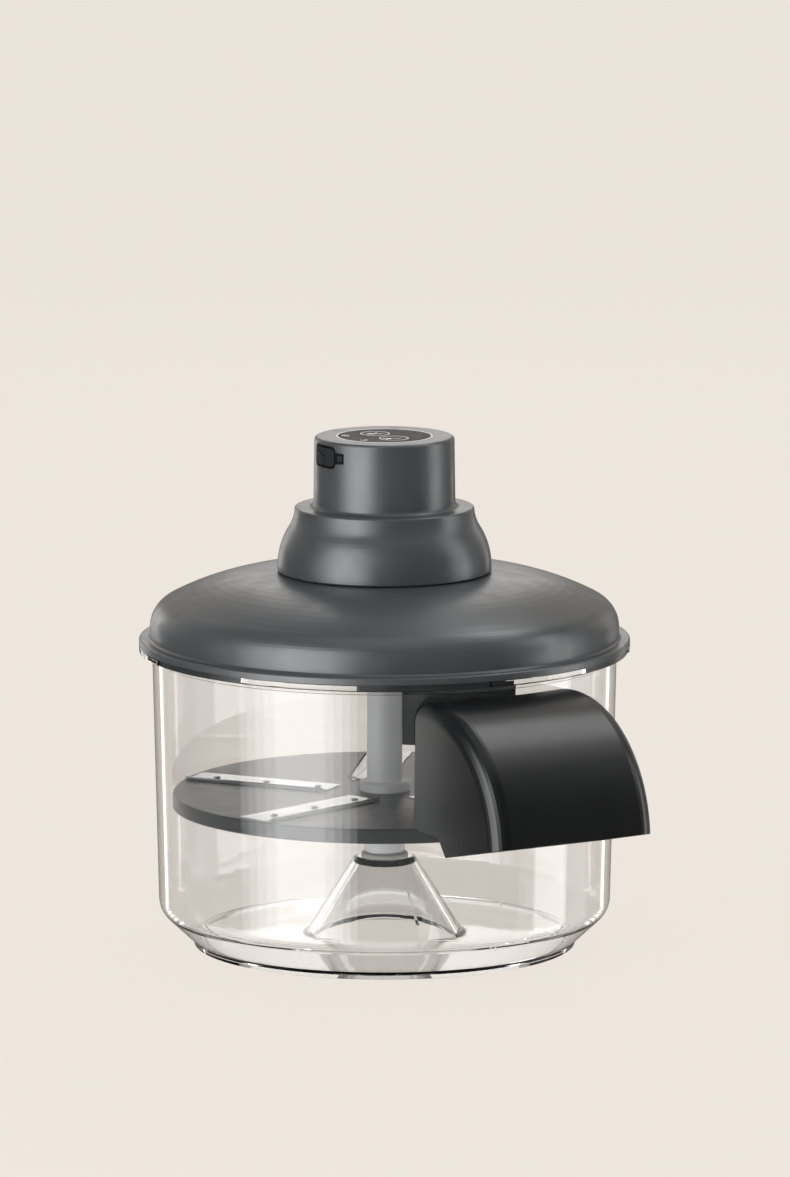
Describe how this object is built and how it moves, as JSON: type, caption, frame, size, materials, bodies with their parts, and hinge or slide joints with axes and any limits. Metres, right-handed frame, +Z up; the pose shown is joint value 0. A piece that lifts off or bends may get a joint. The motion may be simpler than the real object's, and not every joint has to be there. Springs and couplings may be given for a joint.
{
  "type": "electric grape peeler",
  "caption": "Electric grape peeler: clear bowl with an outlet hood, spinning blade disc on a spindle, domed lid with a baffle, and a lift-off motor unit with keys and a charging port.",
  "frame": {"origin": "on the spin axis, in the plane that the bowl's foot ring rests on", "axes": "+Z up along the spin axis, +X from the spin axis towards the outlet hood"},
  "size_m": [0.2512, 0.201, 0.21],
  "materials": {
    "clear_plastic": "polished clear",
    "slate_plastic": "satin",
    "black_plastic": "semi gloss",
    "disc_plastic": "satin",
    "grey_plastic": "satin",
    "bush_plastic": "plain",
    "blade_steel": "brushed",
    "fastener_steel": "plated",
    "soft_black": "matt",
    "panel_film": "satin film",
    "light_white": "milky",
    "gear_nylon": "plain",
    "gear_brass": "cut",
    "motor_can": "plated",
    "cell_wrap": "shrink wrap",
    "board_green": "lacquered"
  },
  "bodies": {
    "bowl": {"bowl": "clear_plastic", "pivot_bush": "bush_plastic"},
    "hood": {"outlet_hood": "black_plastic"},
    "rotor": {"blade_disc": "disc_plastic", "blade_1": "blade_steel", "blade_2": "blade_steel", "blade_3": "blade_steel", "blade_4": "blade_steel", "blade_5": "blade_steel", "blade_rivets": "fastener_steel", "spindle": "grey_plastic", "hub_sleeve": "grey_plastic"},
    "lid": {"lid": "slate_plastic", "lid_bush": "gear_nylon", "baffle": "disc_plastic", "baffle_screws": "fastener_steel"},
    "motor_unit": {"motor_bell": "slate_plastic", "motor_neck": "slate_plastic", "base_plate": "slate_plastic", "base_screws": "fastener_steel", "shaft_seal": "soft_black", "output_bearing": "fastener_steel", "gear_case": "gear_nylon", "case_screws": "fastener_steel", "motor": "motor_can", "battery_cell_1": "cell_wrap", "battery_cell_2": "cell_wrap", "control_board": "board_green", "board_screws": "fastener_steel", "key_domes": "fastener_steel", "charge_socket": "fastener_steel", "control_panel": "panel_film", "light_ring": "light_white"},
    "carrier": {"planet_carrier": "fastener_steel"},
    "planet_1": {"planet_gear_1": "gear_nylon"},
    "planet_2": {"planet_gear_2": "gear_nylon"},
    "planet_3": {"planet_gear_3": "gear_nylon"},
    "sun": {"sun_gear": "gear_brass"},
    "port_cover": {"port_cover": "soft_black"},
    "peel_key": {"peel_key": "panel_film"},
    "eject_key": {"eject_key": "panel_film"}
  },
  "joints": [
    {"name": "rotor_spin", "type": "hinge", "parent": "bowl", "child": "rotor", "pos_m": [0, 0, 0.0605], "axis": [0, 0, 1], "continuous": true},
    {"name": "hood_pull", "type": "slide", "parent": "bowl", "child": "hood", "axis": [1, 0, 0], "range_m": [0, 0.04]},
    {"name": "lid_lift", "type": "slide", "parent": "bowl", "child": "lid", "axis": [0, 0, 1], "range_m": [0, 0.09]},
    {"name": "motor_lift", "type": "slide", "parent": "lid", "child": "motor_unit", "axis": [0, 0, 1], "range_m": [0, 0.05]},
    {"name": "carrier_spin", "type": "hinge", "parent": "motor_unit", "child": "carrier", "pos_m": [0, 0, 0.1575], "axis": [0, 0, 1], "continuous": true},
    {"name": "sun_spin", "type": "hinge", "parent": "motor_unit", "child": "sun", "pos_m": [0, 0, 0.165], "axis": [0, 0, 1], "continuous": true},
    {"name": "planet_1_spin", "type": "hinge", "parent": "carrier", "child": "planet_1", "pos_m": [0.009, 0, 0.164], "axis": [0, 0, 1], "continuous": true},
    {"name": "planet_2_spin", "type": "hinge", "parent": "carrier", "child": "planet_2", "pos_m": [-0.0045, 0.00779, 0.164], "axis": [0, 0, 1], "continuous": true},
    {"name": "planet_3_spin", "type": "hinge", "parent": "carrier", "child": "planet_3", "pos_m": [-0.0045, -0.00779, 0.164], "axis": [0, 0, 1], "continuous": true},
    {"name": "cover_swing", "type": "hinge", "parent": "motor_unit", "child": "port_cover", "pos_m": [-0.0075, -0.02765, 0.2036], "axis": [0, 0, -1], "range_deg": [0, 100]},
    {"name": "peel_press", "type": "slide", "parent": "motor_unit", "child": "peel_key", "axis": [0, 0, -1], "range_m": [0, 0.00025], "stiffness_N_per_m": 400},
    {"name": "eject_press", "type": "slide", "parent": "motor_unit", "child": "eject_key", "axis": [0, 0, -1], "range_m": [0, 0.00025], "stiffness_N_per_m": 400}
  ],
  "couplings": [
    {"joint": "carrier_spin", "follows": "rotor_spin", "ratio": 1},
    {"joint": "sun_spin", "follows": "rotor_spin", "ratio": 5},
    {"joint": "planet_1_spin", "follows": "rotor_spin", "ratio": -2.6667},
    {"joint": "planet_2_spin", "follows": "rotor_spin", "ratio": -2.6667},
    {"joint": "planet_3_spin", "follows": "rotor_spin", "ratio": -2.6667}
  ]
}
